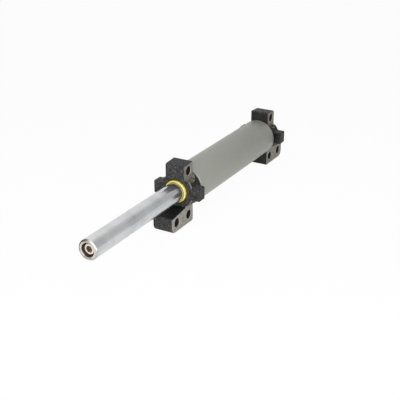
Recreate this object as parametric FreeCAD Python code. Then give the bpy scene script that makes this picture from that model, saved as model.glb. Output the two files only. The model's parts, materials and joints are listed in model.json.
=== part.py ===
"""Hydraulic steering cylinder: a tube between two cast caps, with one long rod through both.

Millimetres. X runs along the rod, +Z is up, and the machined mounting pads face -Y.
Everything is built round the rod's axis with X = 0 at the middle of the barrel. The last step
moves it so that the origin is the middle of the four inner bolt holes, on the mounting pads.
The rod stands at the end of its stroke on the near side, which is -X.
"""
import FreeCAD, Part
import math
import os

from FreeCAD import Vector

os.makedirs("parts", exist_ok=True)

# Barrel
bore_dia = 70.0
barrel_wall = 5.5
barrel_length = 340.0
barrel_edge = 1.0

# Rod, with a screw sunk in each end
rod_dia = 40.0
rod_length = 722.0
rod_edge = 3.2
rod_end_bore_edge = 0.3
screw_sink = 5.0
screw_head_dia = 21.0
screw_head_gap = 3.0
screw_head_height = 14.0
screw_head_edge = 1.0
screw_shank_dia = 14.0
screw_shank_length = 34.0
screw_hex = 12.0
screw_hex_depth = 7.0
hex_sides = 6
tap_drill_spare = 6.0

# Piston and its rings
piston_length = 30.0
piston_edge = 0.8
wear_ring_width = 6.0
wear_ring_depth = 2.5
wear_ring_inset = 4.5
ring_split = 2.0
piston_seal_width = 6.0
piston_seal_groove = 5.3
piston_seal_thickness = 2.2
retaining_width = 2.5
retaining_bite = 1.5
retaining_height = 4.5
retaining_gap = 8.0
bore_oring_section = 3.0
end_gap = 0.5

# Cap casting: hub and spigot
hub_dia = 77.0
hub_length = 33.5
hub_edge = 2.0
spigot_length = 17.0
spigot_edge = 1.5
static_seal_inset = 6.0
oring_section = 2.7
oring_width = 3.6
cord_corner_share = 0.28
backup_width = 1.4

# Cap casting: lugs, with their places measured from the end of the barrel or the rod's axis
lug_gap = 4.0
lug_half = 21.5
cast_allowance = 0.5
cast_round = 2.5
cast_round_share = 0.8
upper_hole_height = 44.0
lower_hole_drop = 50.5
inner_hole_out = 21.5
hole_spacing = 46.0
bolt_hole_dia = 19.0
upper_lug_length = 34.5
upper_lug_top_in = 59.5
upper_lug_top_out = 57.5
upper_lug_round_in = 3.0
upper_lug_round_out = 5.0
lower_lug_length = 83.5
lower_lug_foot = 70.0
lower_lug_top_in = 31.0
lower_lug_top_out = 37.5
lower_lug_round_in = 5.0
lower_lug_round_out = 14.0
lower_lug_round_top = 4.0
spot_dia = 45.0

# Cap casting: side ears and the hydraulic ports in the ears on the +Y side
ear_length = 23.5
ear_height = 27.0
ear_reach = 53.0
ear_round = 3.0
ear_root_round = 5.0
port_dia = 14.5
port_depth = 15.0
port_mouth = 1.0
port_gallery_dia = 6.0
barrel_gallery_dia = 5.0

# Gland, from the mouth inwards
gland_face_rim = 4.0
mouth_clearance = 1.1
mouth_length = 3.0
wiper_groove_depth = 6.0
wiper_groove_length = 5.0
wiper_lip_height = 3.3
wiper_proud = 5.5
wiper_nose = 1.5
wiper_nose_bend = 0.3
land_length = 4.0
land_clearance = 0.4
rod_seal_depth = 4.0
rod_seal_length = 8.0
rod_seal_notch = 3.0
bush_wall = 2.5
bush_length = 25.0

# Fits, as gaps on the radius
running_fit = 0.03
seat_fit = 0.02
spigot_fit = 0.04
piston_fit = 0.1
thread_fit = 0.05

# How far a cut runs past the face that it opens, and how close counts as the same place
cut_past = 1.0
same_place = 0.001

# Worked out from the sizes above
barrel_dia = bore_dia + 2 * barrel_wall
rod_end_bore_dia = screw_head_dia + 2 * screw_head_gap
wiper_groove_dia = rod_dia + 2 * wiper_groove_depth
wiper_lip_dia = rod_dia + 2 * wiper_lip_height
rod_seal_dia = rod_dia + 2 * rod_seal_depth
bush_dia = rod_dia + 2 * bush_wall
gland_face_dia = wiper_groove_dia + 2 * gland_face_rim
gallery_radius = (bush_dia + bore_dia) / 4
barrel_half = barrel_length / 2
spigot_end = barrel_half - spigot_length
hub_end = barrel_half + hub_length
inner_hole_x = barrel_half + inner_hole_out
outer_hole_x = inner_hole_x + hole_spacing
stroke = 2 * spigot_end - piston_length - 2 * end_gap
rod_x = -stroke / 2
origin_shift = Vector(0, lug_half, (lower_hole_drop - upper_hole_height) / 2)

AXIS_X = Vector(1, 0, 0)
AXIS_Y = Vector(0, 1, 0)
AXIS_Z = Vector(0, 0, 1)
CENTRE = Vector(0, 0, 0)


def rod_bar(x_start, x_end, radius, y=0.0, z=0.0):
    """A solid bar along X."""
    return Part.makeCylinder(radius, x_end - x_start, Vector(x_start, y, z), AXIS_X)


def cross_bar(x, z, radius, y_start, y_end):
    """A solid bar along Y."""
    return Part.makeCylinder(radius, y_end - y_start, Vector(x, y_start, z), AXIS_Y)


def turned(profile):
    """Turns a closed outline of (x, radius) points about the rod's axis."""
    points = [Vector(x, 0, radius) for x, radius in profile]
    outline = Part.makePolygon(points + points[:1])
    return Part.Face(outline).revolve(CENTRE, AXIS_X, 360)


def bevelled_bar(x_start, x_end, radius, edge):
    """A solid bar along X with a bevel at both ends."""
    return turned([
        (x_start, 0), (x_start, radius - edge), (x_start + edge, radius),
        (x_end - edge, radius), (x_end, radius - edge), (x_end, 0)])


def round_rimmed_bar(x_start, x_end, radius, round_radius):
    """A solid bar along X with rounded rims."""
    low = radius - round_radius
    mid = low + round_radius * math.sin(math.pi / 4)
    back = round_radius * (1 - math.sin(math.pi / 4))
    points = [Vector(x, 0, height) for x, height in (
        (x_start, low), (x_start + round_radius, radius),
        (x_end - round_radius, radius), (x_end, low))]
    near_crown = Vector(x_start + back, 0, mid)
    far_crown = Vector(x_end - back, 0, mid)
    outline = Part.Wire([
        Part.makeLine(Vector(x_start, 0, 0), points[0]),
        Part.Arc(points[0], near_crown, points[1]).toShape(),
        Part.makeLine(points[1], points[2]),
        Part.Arc(points[2], far_crown, points[3]).toShape(),
        Part.makeLine(points[3], Vector(x_end, 0, 0)),
        Part.makeLine(Vector(x_end, 0, 0), Vector(x_start, 0, 0))])
    return Part.Face(outline).revolve(CENTRE, AXIS_X, 360)


def tube(x_start, x_end, inner, outer, edge_in=0.0, edge_out=0.0):
    """A turned ring, with optional bevels on its inner and outer edges."""
    profile = [(x_start, inner + edge_in), (x_start, outer - edge_out)]
    if edge_out:
        profile += [(x_start + edge_out, outer), (x_end - edge_out, outer)]
        profile += [(x_end, outer - edge_out)]
    else:
        profile += [(x_end, outer)]
    profile += [(x_end, inner + edge_in)]
    if edge_in:
        profile += [(x_end - edge_in, inner), (x_start + edge_in, inner)]
    return turned(profile)


def cord_ring(x_middle, width, inner, outer):
    """A ring of soft cord pressed into its groove: a section with broken corners."""
    edge = cord_corner_share * min(width, outer - inner)
    return tube(x_middle - width / 2, x_middle + width / 2, inner, outer, edge, edge)


def rounded_outline(corners, place):
    """A closed wire through corners of (a, b, radius), put into space by place(a, b)."""
    edges = []
    ends = []
    count = len(corners)
    for number in range(count):
        a, b, radius = corners[number]
        before = corners[number - 1]
        after = corners[(number + 1) % count]
        into = Vector(before[0] - a, before[1] - b, 0).normalize()
        out = Vector(after[0] - a, after[1] - b, 0).normalize()
        half_turn = into.getAngle(out) / 2
        back = radius / math.tan(half_turn)
        start = Vector(a, b, 0) + into * back
        stop = Vector(a, b, 0) + out * back
        ends.append((start, stop))
        if radius:
            centre = Vector(a, b, 0) + (into + out).normalize() * (radius / math.sin(half_turn))
            crown = centre - (into + out).normalize() * radius
            arc = Part.Arc(*[place(p.x, p.y) for p in (start, crown, stop)])
            edges.append(arc.toShape())
    for number in range(count):
        start = ends[number][1]
        stop = ends[(number + 1) % count][0]
        line = Part.LineSegment(place(start.x, start.y), place(stop.x, stop.y))
        edges.append(line.toShape())
    return Part.Wire(Part.__sortEdges__(edges))


def soft_edges(slab, corners, edges):
    """Rounds edges of a cast slab, by less than the rounds at the corners of its outline."""
    smallest = min(radius for a, b, radius in corners if radius)
    return slab.makeFillet(min(cast_round, cast_round_share * smallest), edges)


def side_slab(corners, half_thickness):
    """A soft-edged slab with its outline in X and Z, thick in Y on both sides of the axis.

    The outline's side at the height of the axis lies inside the hub and stays sharp.
    """
    wire = rounded_outline(corners, lambda a, b: Vector(a, -half_thickness, b))
    slab = Part.Face(wire).extrude(AXIS_Y * (2 * half_thickness))
    rims = [edge for edge in slab.Edges if abs(edge.CenterOfMass.y) > half_thickness / 2]
    outer = [edge for edge in rims if abs(edge.CenterOfMass.z) > same_place]
    return soft_edges(slab, corners, outer)


def flat_slab(corners, half_thickness):
    """A soft-edged slab with its outline in X and Y, thick in Z on both sides of the axis."""
    wire = rounded_outline(corners, lambda a, b: Vector(a, b, -half_thickness))
    slab = Part.Face(wire).extrude(AXIS_Z * (2 * half_thickness))
    rims = [edge for edge in slab.Edges if abs(edge.CenterOfMass.z) > half_thickness / 2]
    return soft_edges(slab, corners, rims)


def make_barrel():
    """Honed tube, faced and bevelled at both ends."""
    return tube(-barrel_half, barrel_half, bore_dia / 2, barrel_dia / 2, 0.0, barrel_edge)


def upper_lug():
    """The short lug above the hub, with a top that rises towards the barrel."""
    start = barrel_half + lug_gap
    end = start + upper_lug_length
    corners = [
        (start, 0, 0),
        (start, upper_lug_top_in, upper_lug_round_in),
        (end, upper_lug_top_out, upper_lug_round_out),
        (end, 0, 0),
    ]
    return side_slab(corners, lug_half + cast_allowance)


def lower_lug():
    """The long lug that reaches outwards under the rod, with a flat foot."""
    start = barrel_half + lug_gap
    end = start + lower_lug_length
    corners = [
        (start, 0, 0),
        (start, -lower_lug_foot, lower_lug_round_in),
        (end, -lower_lug_foot, lower_lug_round_out),
        (end, -lower_lug_top_out, lower_lug_round_top),
        (hub_end, -lower_lug_top_in, 0),
        (hub_end, 0, 0),
    ]
    return side_slab(corners, lug_half + cast_allowance)


def ears():
    """Two square bosses at the height of the axis, one on each side of the hub."""
    corners = [
        (hub_end - ear_length, -ear_reach, ear_round),
        (hub_end, -ear_reach, ear_round),
        (hub_end, ear_reach, ear_round),
        (hub_end - ear_length, ear_reach, ear_round),
    ]
    return flat_slab(corners, ear_height / 2)


def ear_roots():
    """The hollow rounds between the ears and the hub, above and below each ear."""
    hub = hub_dia / 2
    level = ear_height / 2
    centre_z = level + ear_root_round
    centre_y = math.sqrt((hub + ear_root_round) ** 2 - centre_z ** 2)
    share = hub / (hub + ear_root_round)
    sunk = level - cast_round
    inside = math.sqrt(hub ** 2 - centre_z ** 2) - cast_round
    root = Vector(0, math.sqrt(hub ** 2 - level ** 2), level)
    centre = Vector(0, centre_y, centre_z)
    crown = centre + (root - centre).normalize() * ear_root_round
    start = hub_end - ear_length + cast_round
    length = ear_length - 2 * cast_round
    fills = []
    for side in (-1, 1):
        for rise in (-1, 1):
            def place(point):
                return Vector(start, side * point.y, rise * point.z)

            on_ear = place(Vector(0, centre_y, level))
            on_hub = place(centre * share)
            in_ear = place(Vector(0, centre_y, sunk))
            in_hub = place(Vector(0, inside, sunk))
            behind = place(Vector(0, inside, centre_z * share))
            outline = Part.Wire([
                Part.Arc(on_hub, place(crown), on_ear).toShape(),
                Part.makeLine(on_ear, in_ear), Part.makeLine(in_ear, in_hub),
                Part.makeLine(in_hub, behind), Part.makeLine(behind, on_hub)])
            fills.append(Part.Face(outline).extrude(AXIS_X * length))
    return fills


def machined_pads():
    """What the mill takes off both sides: a round spot above, a straight pass below."""
    past = hub_dia
    spot_radius = spot_dia / 2
    lower_top = -lower_hole_drop + spot_radius
    lower_start = barrel_half - lug_gap
    lower_end = barrel_half + lug_gap + lower_lug_length + lug_gap
    cuts = []
    for side in (-1, 1):
        y_start = min(side * lug_half, side * (lug_half + past))
        y_end = y_start + past
        cuts.append(cross_bar(inner_hole_x, upper_hole_height, spot_radius, y_start, y_end))
        size_x = lower_end - lower_start
        size_z = lower_top + lower_lug_foot + lug_gap
        corner = Vector(lower_start, y_start, lower_top - size_z)
        cuts.append(Part.makeBox(size_x, past, size_z, corner))
    return cuts


def bolt_holes():
    """Three bolt holes through the lugs, along Y."""
    places = [
        (inner_hole_x, upper_hole_height),
        (inner_hole_x, -lower_hole_drop),
        (outer_hole_x, -lower_hole_drop),
    ]
    past = lug_half + 2 * cast_allowance
    return [cross_bar(x, z, bolt_hole_dia / 2, -past, past) for x, z in places]


def gland_places():
    """Where each part of the gland starts and ends along X, from the mouth inwards."""
    wiper_end = hub_end - mouth_length
    wiper_start = wiper_end - wiper_groove_length
    seal_end = wiper_start - land_length
    seal_start = seal_end - rod_seal_length
    bush_end = seal_start - land_length
    return wiper_start, wiper_end, seal_start, seal_end, bush_end


def gland_bore():
    """All that is bored out of the cap round the rod, and the turned face in front of it."""
    wiper_start, wiper_end, seal_start, seal_end, bush_end = gland_places()
    land = rod_dia / 2 + land_clearance
    mouth = wiper_lip_dia / 2 + mouth_clearance
    inside = spigot_end - cut_past
    outside = hub_end + upper_lug_length
    face = gland_face_dia / 2
    profile = [
        (inside, 0), (inside, bush_dia / 2), (bush_end, bush_dia / 2),
        (bush_end, land), (seal_start, land), (seal_start, rod_seal_dia / 2),
        (seal_end, rod_seal_dia / 2), (seal_end, land), (wiper_start, land),
        (wiper_start, wiper_groove_dia / 2), (wiper_end, wiper_groove_dia / 2),
        (wiper_end, mouth), (hub_end, mouth), (hub_end, face),
        (outside, face), (outside, 0),
    ]
    return turned(profile)


def static_groove_start():
    """Where the groove for the O-ring and its backup ring starts on the spigot."""
    return spigot_end + static_seal_inset


def oil_passages():
    """The threaded port in the ear, and the drillings from it to the end of the spigot."""
    x = hub_end - ear_length / 2
    port_floor = ear_reach - port_depth
    mouth = Part.makeCone(
        port_dia / 2, port_dia / 2 + port_mouth, port_mouth,
        Vector(x, ear_reach - port_mouth, 0), AXIS_Y)
    return [
        cross_bar(x, 0, port_dia / 2, port_floor, ear_reach + cut_past),
        mouth,
        cross_bar(x, 0, port_gallery_dia / 2, gallery_radius, port_floor + cut_past),
        rod_bar(spigot_end - cut_past, x, barrel_gallery_dia / 2, gallery_radius),
    ]


def make_cap():
    """The far cap: one iron casting, machined where it seals, fits or is bolted."""
    hub = bevelled_bar(barrel_half, hub_end, hub_dia / 2, hub_edge)
    spigot = bevelled_bar(spigot_end, hub_end, bore_dia / 2 - spigot_fit, spigot_edge)
    cap = hub.fuse([spigot, upper_lug(), lower_lug(), ears()] + ear_roots())
    groove = static_groove_start()
    groove_width = oring_width + backup_width
    static_groove = tube(groove, groove + groove_width, bore_dia / 2 - oring_section, bore_dia)
    cuts = machined_pads() + bolt_holes() + oil_passages() + [gland_bore(), static_groove]
    return cap.cut(cuts).removeSplitter()


def make_wiper():
    """Soft wiper in the mouth of the gland: a foot in the groove and a round lip outside."""
    start, end = gland_places()[:2]
    lip_end = hub_end + wiper_proud
    lip = wiper_lip_dia / 2
    rod = rod_dia / 2 + running_fit
    foot = wiper_groove_dia / 2 - seat_fit
    relief = rod + wiper_nose / 2
    nose = Vector(lip_end - wiper_nose, 0, lip)
    tip = Vector(lip_end, 0, rod + wiper_nose)
    bent = wiper_nose_bend * wiper_nose
    bend = Vector(lip_end - bent, 0, lip - bent)
    points = [
        Vector(start, 0, relief), Vector(start, 0, foot), Vector(end, 0, foot),
        Vector(end, 0, lip), nose]
    inner = [
        tip, Vector(lip_end - wiper_nose / 2, 0, rod), Vector(hub_end, 0, rod),
        Vector(end, 0, relief), Vector(start, 0, relief)]
    edges = list(Part.makePolygon(points).Edges)
    edges.append(Part.Arc(nose, bend, tip).toShape())
    edges += list(Part.makePolygon(inner).Edges)
    return Part.Face(Part.Wire(edges)).revolve(CENTRE, AXIS_X, 360)


def make_rod_seal():
    """Lip seal round the rod, with its notch towards the oil."""
    start, end = gland_places()[2:4]
    rod = rod_dia / 2 + running_fit
    outer = rod_seal_dia / 2 - seat_fit
    middle = (rod + outer) / 2
    spread = (outer - rod) / 4
    return turned([
        (start, rod), (start, middle - spread), (start + rod_seal_notch, middle),
        (start, middle + spread), (start, outer), (end, outer), (end, rod)])


def make_bush():
    """Bronze bush that guides the rod, against the shoulder behind the seal."""
    end = gland_places()[4]
    inner = rod_dia / 2 + running_fit
    return tube(end - bush_length, end, inner, bush_dia / 2 - seat_fit)


def make_barrel_oring():
    """Soft ring between the cap's spigot and the barrel, on the oil side of the groove."""
    middle = static_groove_start() + oring_width / 2
    floor = bore_dia / 2 - oring_section + seat_fit
    return cord_ring(middle, oring_width - 2 * seat_fit, floor, bore_dia / 2 - seat_fit)


def make_backup_ring():
    """Hard ring behind the O-ring, cut at a slant so that it can be slipped in."""
    start = static_groove_start() + oring_width
    floor = bore_dia / 2 - oring_section + seat_fit
    ring = tube(start, start + backup_width, floor, bore_dia / 2 - seat_fit)
    return ring.cut(split_cut(start, start + backup_width, bore_dia / 2))


def split_cut(x_start, x_end, radius):
    """The narrow gap where a split ring opens, at its top."""
    corner = Vector(x_start - cut_past, -ring_split / 2, 0)
    length = x_end - x_start + 2 * cut_past
    return Part.makeBox(length, ring_split, radius + cut_past, corner)


def rod_end_bores(x_face, inward):
    """Counterbore and tapped hole in one end of the rod; inward is +1 or -1 along X."""
    axis = AXIS_X * inward
    face = Vector(x_face, 0, 0)
    sink = screw_sink + screw_head_height
    hole_depth = sink + screw_shank_length + tap_drill_spare
    radius = rod_end_bore_dia / 2
    bevel = Part.makeCone(radius + rod_end_bore_edge, radius, rod_end_bore_edge, face, axis)
    return [
        Part.makeCylinder(radius, sink, face, axis),
        bevel,
        Part.makeCylinder(screw_shank_dia / 2 + thread_fit, hole_depth, face, axis),
    ]


def retaining_places():
    """Start along X of the near and far retaining rings, measured from the piston's middle."""
    far = piston_length / 2 - retaining_width - end_gap
    return -far - retaining_width, far


def make_rod():
    """Ground bar with rounded rims, a groove for each retaining ring, and bored ends."""
    low = rod_x - rod_length / 2
    high = rod_x + rod_length / 2
    radius = rod_dia / 2
    rod = round_rimmed_bar(low, high, radius, rod_edge)
    cuts = rod_end_bores(low, 1) + rod_end_bores(high, -1)
    for start in retaining_places():
        x = rod_x + start
        floor = radius - retaining_bite
        cuts.append(tube(x, x + retaining_width, floor, radius + cut_past))
    return rod.cut(cuts)


def make_rod_screw(x_face, inward):
    """Socket head screw, its head sunk below the end of the rod."""
    axis = AXIS_X * inward
    top = Vector(x_face, 0, 0) + axis * screw_sink
    under = top + axis * screw_head_height
    edge_radius = screw_head_dia / 2 - screw_head_edge
    crown = Part.makeCone(edge_radius, screw_head_dia / 2, screw_head_edge, top, axis)
    head = Part.makeCylinder(
        screw_head_dia / 2, screw_head_height - screw_head_edge,
        top + axis * screw_head_edge, axis)
    shank = Part.makeCylinder(screw_shank_dia / 2, screw_shank_length, under, axis)
    corner_radius = screw_hex / 2 / math.cos(math.pi / hex_sides)
    corners = []
    for number in range(hex_sides + 1):
        angle = 2 * math.pi * number / hex_sides
        offset = Vector(0, corner_radius * math.cos(angle), corner_radius * math.sin(angle))
        corners.append(top + offset)
    socket = Part.Face(Part.makePolygon(corners)).extrude(axis * screw_hex_depth)
    return crown.fuse([head, shank]).cut(socket).removeSplitter()


def wear_ring_places():
    """Start along X of the near and far wear rings, measured from the piston's middle."""
    far = piston_length / 2 - wear_ring_inset - wear_ring_width
    return -far - wear_ring_width, far


def make_piston():
    """Steel piston with grooves for its rings outside, and one for its own seal inside."""
    half = piston_length / 2
    outer = bore_dia / 2 - piston_fit
    inner = rod_dia / 2 + seat_fit
    piston = tube(rod_x - half, rod_x + half, inner, outer, 0.0, piston_edge)
    past = bore_dia / 2 + cut_past
    seal_floor = bore_dia / 2 - piston_seal_groove
    seal_half = piston_seal_width / 2
    cuts = [tube(rod_x - seal_half, rod_x + seal_half, seal_floor, past)]
    for start in wear_ring_places():
        x = rod_x + start
        floor = bore_dia / 2 - wear_ring_depth
        cuts.append(tube(x, x + wear_ring_width, floor, past))
    pocket = rod_dia / 2 - retaining_bite + retaining_height + running_fit
    near, far = retaining_places()
    cuts.append(rod_bar(rod_x - half - cut_past, rod_x + near + retaining_width, pocket))
    cuts.append(rod_bar(rod_x + far, rod_x + half + cut_past, pocket))
    bore_half = bore_oring_section / 2 + seat_fit
    bore_floor = inner + bore_oring_section - seat_fit
    cuts.append(rod_bar(rod_x - bore_half, rod_x + bore_half, bore_floor))
    return piston.cut(cuts)


def make_wear_ring(start):
    """Split guide ring round the piston."""
    x = rod_x + start + seat_fit
    x_end = x + wear_ring_width - 2 * seat_fit
    floor = bore_dia / 2 - wear_ring_depth + seat_fit
    ring = tube(x, x_end, floor, bore_dia / 2 - running_fit)
    return ring.cut(split_cut(x, x_end, bore_dia / 2))


def make_piston_seal():
    """Slide ring that bears on the bore, over its soft energizer."""
    half = piston_seal_width / 2 - seat_fit
    outer = bore_dia / 2 - running_fit
    return tube(rod_x - half, rod_x + half, outer - piston_seal_thickness, outer)


def make_energizer():
    """Soft ring under the piston's slide ring."""
    floor = bore_dia / 2 - piston_seal_groove + seat_fit
    top = bore_dia / 2 - running_fit - piston_seal_thickness - seat_fit
    return cord_ring(rod_x, piston_seal_width - 2 * seat_fit, floor, top)


def make_retaining_ring(start):
    """Open ring that sits in the rod's groove and holds the piston from one side."""
    x = rod_x + start
    inner = rod_dia / 2 - retaining_bite + seat_fit
    ring = tube(x, x + retaining_width, inner, inner + retaining_height - seat_fit)
    corner = Vector(x - cut_past, -retaining_gap / 2, 0)
    gap = Part.makeBox(retaining_width + 2 * cut_past, retaining_gap, rod_dia, corner)
    return ring.cut(gap)


def make_bore_oring():
    """Soft ring between the rod and the piston."""
    inner = rod_dia / 2 + seat_fit
    outer = inner + bore_oring_section - 3 * seat_fit
    return cord_ring(rod_x, bore_oring_section, inner, outer)


def mirrored(shape):
    """The same piece at the other end of the cylinder."""
    return shape.mirror(CENTRE, AXIS_X)


def export(name, shape):
    """Moves a piece into the finished frame and writes it."""
    placed = shape.copy()
    placed.translate(origin_shift)
    placed.exportStep("parts/" + name + ".step")


near_rod_face = rod_x - rod_length / 2
far_rod_face = rod_x + rod_length / 2

end_pieces = {
    "end_cap": make_cap(),
    "wiper_ring": make_wiper(),
    "rod_seal": make_rod_seal(),
    "rod_bush": make_bush(),
    "barrel_oring": make_barrel_oring(),
    "barrel_backup_ring": make_backup_ring(),
}
for end_name, end_shape in end_pieces.items():
    export("far_" + end_name, end_shape)
    export("near_" + end_name, mirrored(end_shape))

export("barrel", make_barrel())
export("piston_rod", make_rod())
export("near_rod_end_screw", make_rod_screw(near_rod_face, 1))
export("far_rod_end_screw", make_rod_screw(far_rod_face, -1))
export("piston", make_piston())
export("piston_seal", make_piston_seal())
export("piston_seal_energizer", make_energizer())
export("piston_bore_oring", make_bore_oring())
for side, wear_start, ring_start in zip(("near", "far"), wear_ring_places(), retaining_places()):
    export(side + "_piston_wear_ring", make_wear_ring(wear_start))
    export(side + "_piston_retaining_ring", make_retaining_ring(ring_start))
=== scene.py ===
import json
import math

import bpy
from mathutils import Matrix, Vector


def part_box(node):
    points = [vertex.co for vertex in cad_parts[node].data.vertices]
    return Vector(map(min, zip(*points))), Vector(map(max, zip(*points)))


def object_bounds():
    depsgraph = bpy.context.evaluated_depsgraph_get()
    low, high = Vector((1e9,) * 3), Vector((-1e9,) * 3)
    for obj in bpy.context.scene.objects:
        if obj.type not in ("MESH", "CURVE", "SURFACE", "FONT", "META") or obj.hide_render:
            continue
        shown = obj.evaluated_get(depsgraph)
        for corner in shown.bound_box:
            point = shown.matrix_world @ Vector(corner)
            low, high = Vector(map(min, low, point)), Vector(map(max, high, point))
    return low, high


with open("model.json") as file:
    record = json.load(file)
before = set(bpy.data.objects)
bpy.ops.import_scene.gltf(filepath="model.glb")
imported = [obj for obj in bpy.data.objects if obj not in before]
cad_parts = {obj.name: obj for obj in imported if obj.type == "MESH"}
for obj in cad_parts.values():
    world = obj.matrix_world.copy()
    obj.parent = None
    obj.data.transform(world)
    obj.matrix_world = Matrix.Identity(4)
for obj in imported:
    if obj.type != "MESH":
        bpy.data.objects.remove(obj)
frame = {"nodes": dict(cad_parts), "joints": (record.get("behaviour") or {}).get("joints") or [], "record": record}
cad_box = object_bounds()

# The camera stands to the left and in front of the near end, a little above it, at the distance
# that gives the photograph's perspective. Its picture is 400 by 400.
eye = Vector((-1.50764, -0.77058, 0.65854))
heading = math.radians(29.49)
dip = math.radians(23.86)
lens_in_pixels = 832.36
picture_width = 400
sensor_width = 36.0

along = Vector((
    math.cos(heading) * math.cos(dip), math.sin(heading) * math.cos(dip), -math.sin(dip)))
right = Vector((math.sin(heading), -math.cos(heading), 0.0))
above = right.cross(along)
camera = bpy.data.objects.new("camera", bpy.data.cameras.new("camera"))
bpy.context.scene.collection.objects.link(camera)
camera.matrix_world = Matrix((
    (right.x, above.x, -along.x, eye.x),
    (right.y, above.y, -along.y, eye.y),
    (right.z, above.z, -along.z, eye.z),
    (0.0, 0.0, 0.0, 1.0)))
camera.data.sensor_width = sensor_width
camera.data.lens = lens_in_pixels / picture_width * sensor_width
bpy.context.scene.camera = camera
bpy.context.scene.view_settings.view_transform = "Standard"

# The barrel is a honed steel tube, faced and bevelled at both ends and sprayed with a grey-green
# enamel. Its colour is painted paler towards the near end, as painted light that falls off along
# the barrel. It stands on the spigots of the two caps, and its bevels are left bare. All sizes here
# are in metres.
barrel_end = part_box("barrel")[1].x
barrel_bevel = 0.001
peel_height = 0.00008
light_fade_from = -0.22
light_fade_to = 0.16


class Term:
    """One value in a finish's formula. Sums and products of terms and numbers add Math nodes."""

    def __init__(self, tree, socket):
        self.tree = tree
        self.socket = socket

    def node(self, kind, settings=(), sockets=(), out=0):
        """Adds any other node: its settings first, then the values or links of its sockets."""
        made = self.tree.nodes.new(kind)
        for key, value in dict(settings).items():
            setattr(made, key, value)
        for key, value in dict(sockets).items():
            if isinstance(value, Term):
                self.tree.links.new(value.socket, made.inputs[key])
            else:
                made.inputs[key].default_value = value
        return Term(self.tree, made.outputs[out])

    def work_out(self, operation, *values):
        """A Math node with this operation."""
        return self.node("ShaderNodeMath", {"operation": operation}, dict(enumerate(values)))

    def __add__(self, other):
        return self.work_out("ADD", self, other)

    def __mul__(self, other):
        return self.work_out("MULTIPLY", self, other)

    def __sub__(self, other):
        return self.work_out("SUBTRACT", self, other)

    def __rsub__(self, other):
        return self.work_out("SUBTRACT", other, self)

    __radd__ = __add__
    __rmul__ = __mul__

    def size(self):
        """The value without its sign."""
        return self.work_out("ABSOLUTE", self)

    def lesser(self, other):
        """The smaller of two terms."""
        return self.work_out("MINIMUM", self, other)

    def greater(self, other):
        """The larger of two terms."""
        return self.work_out("MAXIMUM", self, other)

    def step(self, low, high, shape="SMOOTHSTEP"):
        """0 below low and 1 above high, with a rise of the given shape between."""
        return self.node(
            "ShaderNodeMapRange", {"interpolation_type": shape},
            {"Value": self, "From Min": low, "From Max": high})

    def within(self, low, high, soft):
        """1 from low to high, and down to 0 over the width soft on both sides."""
        return self.step(low - soft, low) * (1 - self.step(high, high + soft))

    def at(self, centre, reach):
        """1 up to reach away from centre, and 0 from twice as far on."""
        return 1 - (self - centre).size().step(reach, 2 * reach)

    def blend(self, low, high):
        """The colour low where this term is 0 and the colour high where it is 1."""
        # A Mix node keeps its two colours in sockets 6 and 7 and their mixture in output 2.
        return self.node("ShaderNodeMix", {"data_type": "RGBA"}, {0: self, 6: low, 7: high}, out=2)


def rgb(red, green, blue):
    """A colour given as it shows on a screen, 0 to 255, turned into light."""
    scaled = [channel / 255 for channel in (red, green, blue)]
    light = [c / 12.92 if c <= 0.04045 else ((c + 0.055) / 1.055) ** 2.4 for c in scaled]
    return (*light, 1.0)


def start_finish(name, **constants):
    """A new material: gives it, its surface shader, and its place on the object as a term."""
    material = bpy.data.materials.new(name)
    material.use_nodes = True
    shader = material.node_tree.nodes["Principled BSDF"]
    for key, value in constants.items():
        shader.inputs[key.replace("_", " ")].default_value = value
    place = Term(material.node_tree, None).node("ShaderNodeTexCoord", out="Object")
    return material, shader, place


def feed(shader, **terms):
    """Links terms to the surface shader's sockets."""
    for key, term in terms.items():
        term.tree.links.new(term.socket, shader.inputs[key.replace("_", " ")])


def axes_of(place):
    """The three coordinates of a place, in metres, or the three parts of a direction."""
    return [place.node("ShaderNodeSeparateXYZ", (), {0: place}, out=axis) for axis in "XYZ"]


def cloud(place, scale, detail=3.0, rough=0.55):
    """Noise from 0 to 1, with scale patches to a metre."""
    sockets = {"Vector": place, "Scale": scale, "Detail": detail, "Roughness": rough}
    return place.node("ShaderNodeTexNoise", (), sockets)


def raised(height, depth):
    """A normal from a height field that is depth metres high."""
    return height.node("ShaderNodeBump", (), {"Strength": 1.0, "Distance": depth, "Height": height})


def dress(material, *nodes):
    """Gives CAD nodes their finish."""
    for node in nodes:
        for slot in frame["nodes"][node].material_slots:
            slot.material = material


enamel, shader, place = start_finish("barrel_enamel", Coat_Weight=0.35, Coat_Roughness=0.3)
x = axes_of(place)[0]
drift = cloud(place, 14.0)
orange_peel = cloud(place, 420.0, 2.0)
dust = cloud(place, 75.0, 6.0, 0.7).step(0.45, 0.75)
rubs = cloud(place, 38.0, 5.0, 0.65).step(0.4, 0.75)
near_end_painted_light = 0.5 - x.step(light_fade_from, light_fade_to) * 0.5
bevel = x.size().step(barrel_end - 1.3 * barrel_bevel, barrel_end - 0.9 * barrel_bevel)

colour = drift.blend(rgb(136, 137, 128), rgb(142, 143, 134))
# Painted light: the enamel is painted paler towards the near end, where the lamps are nearer.
colour = near_end_painted_light.blend(colour, rgb(163, 164, 155))
colour = (rubs * 0.6).blend(colour, rgb(146, 147, 140))
colour = (dust * 0.25).blend(colour, rgb(160, 160, 155))
colour = bevel.blend(colour, rgb(142, 142, 138))
feed(shader, Base_Color=colour, Roughness=0.44 + dust * 0.12, Metallic=bevel * 0.5,
     Normal=raised(orange_peel, peel_height))
dress(enamel, "barrel")
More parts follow.
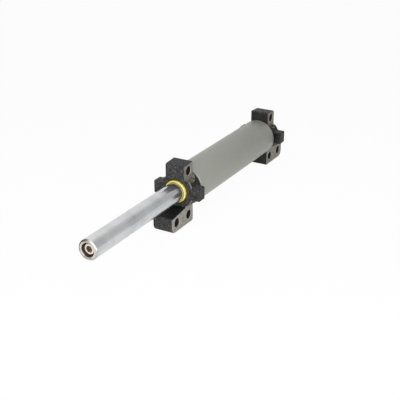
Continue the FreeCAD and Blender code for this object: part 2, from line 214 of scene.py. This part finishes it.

# The two caps are one iron casting used at both ends, painted dark grey. The mounting pads, the
# spot faces, the holes and the hub's front bevel are machined after painting and are bare. Painted
# shade darkens the casting behind the lugs, along the hub's side and under the rod, with oily
# patches behind the lugs, and the iron round the wiper is painted olive as the wiper's reflection.
rod_turn = {joint["name"]: joint for joint in frame["joints"]}["rod_turn"]
rod_middle, rod_y, rod_z = rod_turn["pos_m"]
bolts = {mount["name"]: mount["dims"] for mount in frame["record"]["mounts"]}
millimetre = 0.001
bolt_x = bolts["inner_bolts"]["spacing_x_mm"] / 2 * millimetre
bolt_z = bolts["inner_bolts"]["spacing_y_mm"] / 2 * millimetre
outer_bolt_x = bolts["outer_bolts"]["spacing_x_mm"] / 2 * millimetre
bolt_hole_radius = bolts["inner_bolts"]["hole_r_mm"] * millimetre
pad_half = rod_y
hub_face = 0.2035
hub_radius = 0.0385
hub_bevel = 0.002
broken_edge = 0.001
hole_mouth = 0.0008
spot_radius = 0.0225
gland_face_radius = 0.030
olive_ring_width = 0.0035
ear_back = 0.180
behind_depth = 0.0005
lug_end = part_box("far_end_cap")[1].x
lug_top = -0.020
upper_lug_from = 0.015
upper_lug_to = 0.030
shadow_fade = 0.002
soft_edge = 0.0002
cast_depth = 0.0006


def distance(across, up):
    """The straight line that goes across by one term and up by another."""
    squared = across * across + up * up
    return squared.work_out("SQRT", squared)


def from_rod_axis(y, z):
    """The way from the rod's axis: aside towards +Y, upwards, and in a straight line."""
    aside = y - rod_y
    rise = z - rod_z
    return aside, rise, distance(aside, rise)


def stretched(place, *scale):
    """The same place with scaled axes: a small scale draws a cloud out into streaks."""
    return place.node("ShaderNodeMapping", (), {0: place, "Scale": scale})


def both_ends(piece):
    """The two nodes of a piece that each end of the cylinder has."""
    return "near_" + piece, "far_" + piece


# Where the casting is machined and bare.
iron, shader, place = start_finish("cast_cap", Specular_IOR_Level=0.25)
x, y, z = axes_of(place)
nx, ny, nz = axes_of(place.node("ShaderNodeTexCoord", out="Normal"))
aside, _, radius = from_rod_axis(y, z)
out = x.size()
side = aside.size()
facing_side = ny.size().step(0.9, 0.97)
on_pad = side.at(pad_half, 0.75 * soft_edge) * facing_side

upper_gap = distance(out - bolt_x, z - bolt_z)
inner_gap = distance(out - bolt_x, z + bolt_z)
outer_gap = distance(out - outer_bolt_x, z + bolt_z)
hole_gap = upper_gap.lesser(inner_gap).lesser(outer_gap)
in_hole = 1 - hole_gap.step(bolt_hole_radius, bolt_hole_radius + soft_edge)
in_mouth = in_hole * side.step(pad_half - hole_mouth, pad_half - 0.8 * hole_mouth)
past_edge = hole_gap.step(bolt_hole_radius, bolt_hole_radius + broken_edge, "LINEAR")
spot_wall = upper_gap.at(spot_radius, soft_edge) * (1 - facing_side)
spot_wall = spot_wall * side.within(pad_half, hub_radius, soft_edge)
hub_rim = radius.within(hub_radius - hub_bevel, hub_radius, soft_edge)
hub_rim = hub_rim * out.step(hub_face - hub_bevel - soft_edge, hub_face - hub_bevel)
hub_rim = hub_rim * nx.size().within(0.65, 0.8, 0.1)
bare = on_pad.greater(spot_wall).greater(hub_rim * 0.45)

# The painted skin, its oily patches, and the painted shade and painted reflection on it.
grain = cloud(place, 420.0, 4.0, 0.65)
pits = cloud(place, 900.0, 3.0, 0.6)
lumps = cloud(place, 160.0, 2.0)
shade = cloud(place, 45.0, 4.0)
oily = cloud(place, 75.0, 4.0).step(0.42, 0.58)
# Painted shade: faces that look along the barrel, in its shade, are painted dark in oily patches.
behind = nx.size().step(0.8, 0.95)
behind = behind * (1 - out.step(ear_back + behind_depth, ear_back + 2 * behind_depth))
# Painted shade: the hub's side, under the lugs and ears, is painted nearly black.
shaded_hub_side = radius.at(hub_radius, 1.5 * soft_edge)
# Painted shadow: the tops of the lower lugs under the rod are painted almost black.
shadow_under_rod = nz.step(0.5, 0.8) * (lug_top - z).step(0.0, shadow_fade)
shadow_under_rod = shadow_under_rod * out.step(hub_face - shadow_fade / 2, hub_face + shadow_fade / 2)
shadow_under_rod = shadow_under_rod * (1 - out.step(lug_end - 3 * shadow_fade, lug_end - shadow_fade))
# Painted reflection: the face round the wiper is tinted olive with the wiper's yellow.
wiper_reflection = out.step(hub_face - 2 * soft_edge, hub_face - soft_edge)
wiper_reflection = wiper_reflection * (1 - radius.step(gland_face_radius - olive_ring_width, gland_face_radius))

cast = shade.blend(rgb(42, 42, 43), rgb(54, 54, 54))
cast = grain.step(0.38, 0.52).blend(rgb(23, 23, 24), cast)
cast = grain.step(0.52, 0.69).blend(cast, rgb(104, 103, 100))
cast = (behind * 0.75).blend(cast, oily.blend(rgb(34, 32, 30), rgb(9, 9, 9)))
cast = (shaded_hub_side * 0.85).blend(cast, rgb(15, 15, 15))
cast = (shadow_under_rod * 0.9).blend(cast, rgb(15, 15, 16))
cast = (wiper_reflection * 0.7).blend(cast, rgb(66, 60, 22))

# The milled metal, the turned walls of the spot faces, the painted shade on the pads and in the
# holes, and the painted glints on the holes' broken edges and mouths.
smear = cloud(stretched(place, 1.0, 1.0, 3.0), 110.0).step(0.3, 0.7)
streak = cloud(stretched(place, 1.0, 0.08, 0.3), 170.0).step(0.42, 0.58)
# Painted shade: the upper lugs' pads are painted darker than the lower ones.
upper_pad_shade = z.step(upper_lug_from, upper_lug_to)
# Painted shade: the far cap's metal is painted darker, as light falling off away from the lamps.
far_cap_shade = x.step(0.0, barrel_end)
milled = smear.blend(rgb(124, 121, 113), rgb(172, 168, 159))
milled = (upper_pad_shade * 0.48).blend(milled, rgb(104, 100, 90))
milled = (far_cap_shade * 0.3).blend(milled, rgb(96, 94, 86))
milled = (spot_wall * 0.8).blend(milled, streak.blend(rgb(44, 41, 36), rgb(136, 131, 120)))

colour = bare.blend(cast, milled)
# Painted glint: a bright ring on the pads round each hole, over the broken edge.
colour = ((1 - past_edge) * on_pad * 0.5).blend(colour, rgb(206, 204, 200))
# Painted shade: the holes are painted dark brown inside.
colour = in_hole.blend(colour, rgb(50, 40, 33))
# Painted glint: the mouth of each hole, next to the pad, is painted bright.
colour = in_mouth.blend(colour, rgb(206, 203, 197))
cutter_marks = place.node(
    "ShaderNodeTexWave", {"bands_direction": "X"},
    {"Vector": place, "Scale": 420.0, "Distortion": 1.5, "Detail": 2.0})
height = (grain * 0.8 + lumps + pits * 0.3) * (1 - bare) + cutter_marks * bare * 0.08
height = height + past_edge * on_pad * (broken_edge / cast_depth)
feed(shader, Base_Color=colour, Metallic=bare * 0.45,
     Roughness=0.5 - bare * 0.06 + (1 - bare) * shade * 0.15, Normal=raised(height, cast_depth))
dress(iron, *both_ends("end_cap"))

# A wiper is moulded from yellow polyurethane and pressed into the mouth of each cap's gland. Its
# round lip stands out of the gland and rides on the rod. Its inner edge, its underside and the part
# inside the gland are painted darker as painted shade.
lip_inner = 0.0204
lip_outer = 0.0231
shade_top = 0.0165
shade_bottom = 0.0205
lip_start = 0.0005
lip_rise = 0.0008
lip_texture = 0.00003

polyurethane, shader, place = start_finish("wiper_polyurethane")
x, y, z = axes_of(place)
_, rise, radius = from_rod_axis(y, z)
tint = cloud(place, 60.0, 3.0)
proud = x.size().step(hub_face - lip_start, hub_face + lip_rise)
shaded_inner_edge = 1 - radius.step(lip_inner, lip_outer)
shaded_underside = (0 - rise).step(shade_top, shade_bottom)

colour = tint.blend(rgb(235, 222, 121), rgb(241, 231, 136))
# Painted shade: the lip's inner edge, beside the rod, is painted darker.
colour = (shaded_inner_edge * 0.7).blend(colour, rgb(160, 148, 78))
# Painted shade: the lip's underside, where the rod hides it from the light, is painted dark.
colour = (shaded_underside * 0.8).blend(colour, rgb(84, 78, 48))
# Painted shade: the wiper inside the gland is painted dark olive.
colour = proud.blend(rgb(112, 104, 34), colour)
feed(shader, Base_Color=colour, Roughness=0.36 + tint * 0.1,
     Normal=raised(cloud(place, 700.0, 2.0), lip_texture))
dress(polyurethane, *both_ends("wiper_ring"))

# The rod is a steel bar, ground and plated with hard chrome, and it slides through both caps.
# Its ends are faced, bevelled and bored after grinding, and the turned steel there is bare.
rod_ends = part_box("piston_rod")
rod_half = (rod_ends[1].x - rod_ends[0].x) / 2
rod_radius = 0.020
rod_rim = 0.0032
bore_edge = 0.0004
ground_depth = 0.000015
paler_from = 0.24
paler_to = 0.35
dim_rim_from = -0.004
dim_rim_to = 0.009
face_bands_from = 0.001
face_bands_to = 0.009

chrome, shader, place = start_finish("hard_chrome")
x, y, z = axes_of(place)
aside, rise, radius = from_rod_axis(y, z)
reach = (x - rod_middle).size()
streaks = cloud(stretched(place, 0.05, 1.0, 1.0), 260.0, 4.0, 0.6)
film = cloud(place, 22.0, 4.0, 0.6)
turned = cloud(place, 420.0, 4.0, 0.6)
inside_rim = rod_radius - rod_rim
bare_end = 1 - radius.step(inside_rim - soft_edge, inside_rim + soft_edge)
rim = reach.step(rod_half - rod_rim, rod_half - 0.9 * rod_rim) * (1 - bare_end)
in_bore = bare_end * (1 - reach.step(rod_half - 3 * bore_edge, rod_half - bore_edge))
paler_ends = reach.step(paler_from, paler_to)
dim_rim_reflection = (aside + rise * 0.15).step(dim_rim_from, dim_rim_to)
face_reflection_bands = (rise.size() - aside.size() * 0.8).step(face_bands_from, face_bands_to)

steel = turned.step(0.3, 0.7).blend(rgb(186, 179, 171), rgb(222, 216, 208))
# Painted reflection: the turned end face is painted darker at top and bottom, as bands it reflects.
steel = (face_reflection_bands * 0.6).blend(steel, rgb(136, 130, 122))
colour = film.step(0.32, 0.68).blend(rgb(184, 185, 187), rgb(210, 210, 212))
colour = (streaks.step(0.3, 0.7) * 0.5).blend(colour, rgb(214, 214, 215))
# The chrome is a little paler towards the rod's ends.
colour = (paler_ends * 0.2).blend(colour, rgb(228, 229, 227))
colour = bare_end.blend(colour, steel)
colour = (rim * 0.7).blend(colour, rgb(176, 175, 170))
# Painted reflection: the rim's side towards +Y is painted a dark grey-green reflection.
colour = (rim * dim_rim_reflection).blend(colour, rgb(96, 100, 90))
# Painted shade: the counterbore is painted darker inside.
colour = in_bore.blend(colour, rgb(128, 117, 104))
feed(shader, Base_Color=colour, Metallic=0.93 - bare_end * 0.18,
     Roughness=0.15 + streaks * 0.08 + film * 0.05 + bare_end * 0.12 + rim * 0.16,
     Normal=raised(streaks * (1 - bare_end) + turned * bare_end * 2, ground_depth))
dress(chrome, "piston_rod")

# A socket head screw is sunk in each end of the rod, in a counterbore. It is cold formed from
# steel and left plain. The walls of its hexagon are painted lit where they face +Y and up, and
# painted in brown shade elsewhere.
screw_sink = 0.005
hexagon_fade = 0.001
formed_depth = 0.00003

plain_steel, shader, place = start_finish("screw_steel", Metallic=0.85)
x = axes_of(place)[0]
_, ny, nz = axes_of(place.node("ShaderNodeTexCoord", out="Normal"))
formed = cloud(place, 500.0, 3.0)
screw_top = rod_half - screw_sink - soft_edge
below_top = 1 - (x - rod_middle).size().step(screw_top - hexagon_fade, screw_top)
lit_wall = (ny * 0.7 + nz * 0.7).step(0.2, 0.6)

colour = formed.blend(rgb(214, 204, 195), rgb(234, 225, 217))
# Painted light and shade: walls below the head's top facing +Y and up are painted lit, the rest shaded.
colour = below_top.blend(colour, lit_wall.blend(rgb(130, 116, 102), rgb(206, 192, 179)))
feed(shader, Base_Color=colour, Roughness=0.3 + formed * 0.15,
     Normal=raised(formed, formed_depth))
dress(plain_steel, *both_ends("rod_end_screw"))

# The pieces inside don't show. The piston is turned from steel and held on the rod by two rings
# of spring steel. It carries a slide ring and two guide rings, and each cap holds a bronze bush,
# a lip seal, and an O-ring with its backup ring.
fine = 0.00002
coarse = 0.00004


def plain_finish(name, nodes, dark, light, patches, depth, **constants):
    """A quiet finish for a piece inside: two close colours in patches, with a fine grain."""
    material, shader, place = start_finish(name, **constants)
    patch = cloud(place, patches, 3.0)
    feed(shader, Base_Color=patch.blend(dark, light), Normal=raised(patch, depth))
    dress(material, *nodes)


plain_finish("turned_steel", ["piston"],
             rgb(150, 150, 152), rgb(176, 176, 178), 300.0, fine, Metallic=1.0, Roughness=0.35)
plain_finish("spring_steel", both_ends("piston_retaining_ring"),
             rgb(70, 70, 74), rgb(92, 92, 96), 400.0, fine, Metallic=1.0, Roughness=0.4)
plain_finish("seal_rubber", [*both_ends("rod_seal"), *both_ends("barrel_oring"),
                             "piston_seal_energizer", "piston_bore_oring"],
             rgb(24, 24, 25), rgb(36, 36, 37), 500.0, 0.75 * coarse, Roughness=0.55)
plain_finish("slide_ring", ["piston_seal"],
             rgb(84, 64, 44), rgb(108, 84, 58), 600.0, fine, Roughness=0.45)
plain_finish("guide_ring", both_ends("piston_wear_ring"),
             rgb(104, 86, 58), rgb(132, 110, 76), 800.0, coarse, Roughness=0.6)
plain_finish("backup_ring", both_ends("barrel_backup_ring"),
             rgb(212, 212, 206), rgb(228, 228, 222), 300.0, fine, Roughness=0.5)
plain_finish("bush_bronze", both_ends("rod_bush"),
             rgb(176, 132, 74), rgb(204, 160, 98), 350.0, fine, Metallic=0.9, Roughness=0.35)

# The floor is a plain pale sheet under the caps' feet. The camera sees most of it as white,
# and the rest of it keeps the soft shadow.
floor_half = 6.0
floor_gap = 0.0002
floor_z = cad_box[0][2] - floor_gap
white_to_camera = 0.96
white_to_metal = 0.75


def kinds_of_ray(term):
    """Two terms: 1 for the camera's own rays, and 1 for rays that metal or glass sends on."""
    kinds = ("Is Camera Ray", "Is Glossy Ray", "Is Transmission Ray")
    seen, glossy, through = [term.node("ShaderNodeLightPath", out=kind) for kind in kinds]
    return seen, glossy.greater(through)


mesh = bpy.data.meshes.new("floor")
corners = [(-floor_half, -floor_half, floor_z), (floor_half, -floor_half, floor_z),
           (floor_half, floor_half, floor_z), (-floor_half, floor_half, floor_z)]
mesh.from_pydata(corners, [], [(0, 1, 2, 3)])
floor = bpy.data.objects.new("floor", mesh)
bpy.context.scene.collection.objects.link(floor)

sheet, shader, place = start_finish("floor_sheet", Roughness=0.9)
feed(shader, Base_Color=cloud(place, 3.0).blend(rgb(244, 244, 244), rgb(247, 247, 247)))
seen, mirrored = kinds_of_ray(place)
white = place.node("ShaderNodeEmission", (), {"Color": (1.0, 1.0, 1.0, 1.0), "Strength": 1.0})
share = seen * white_to_camera + mirrored * white_to_metal
plain = Term(place.tree, shader.outputs[0])
mixed = place.node("ShaderNodeMixShader", (), {0: share, 1: plain, 2: white})
place.tree.links.new(mixed.socket, place.tree.nodes["Material Output"].inputs[0])
mesh.materials.append(sheet)

# The light is that of a white studio tent with four soft square lamps in it. The wall beyond the
# far end and to the left is the brightest, and the side behind the camera is dimmer. The camera
# sees pure white all round.
matt_share = 0.36
dim_side = 0.6
horizon_glow = 0.1

world = bpy.data.worlds.new("studio")
bpy.context.scene.world = world
world.use_nodes = True
tree = world.node_tree
backing = tree.nodes["Background"]
direction = Term(tree, None).node("ShaderNodeTexCoord", out="Generated")
east, north, up = axes_of(direction)
seen, mirrored = kinds_of_ray(direction)
bright_wall = (east * 0.8 + north * 0.6).step(0.42, 0.7)
dim = (1 - up.step(0.05, 0.35)) * horizon_glow + dim_side
tent = bright_wall * (1 - dim) + dim
tent = tent * (mirrored * (1 - matt_share) + matt_share)
strength = seen + (1 - seen) * tent
tree.links.new(strength.socket, backing.inputs["Strength"])
backing.inputs["Color"].default_value = (1.0, 1.0, 1.0, 1.0)


def lamp(name, size, power, spot, target):
    """A square soft lamp at spot that faces target."""
    light = bpy.data.lights.new(name, "AREA")
    light.size = size
    light.energy = power
    made = bpy.data.objects.new(name, light)
    bpy.context.scene.collection.objects.link(made)
    made.location = spot
    aim = Vector(target) - Vector(spot)
    made.rotation_euler = aim.to_track_quat("-Z", "Y").to_euler()


lamp("top_lamp", 1.0, 4.5, (-0.45, 0.0, 1.05), (-0.25, 0.02, 0.0))
lamp("camera_lamp", 1.2, 9.8, (-1.35, -1.0, 0.95), (-0.2, 0.0, 0.0))
lamp("left_lamp", 0.9, 10.0, (-1.5, -0.1, 0.25), (-0.2, 0.0, 0.0))
lamp("front_lamp", 0.6, 4.4, (-0.68, -0.85, 0.0), (-0.2, 0.0, 0.0))
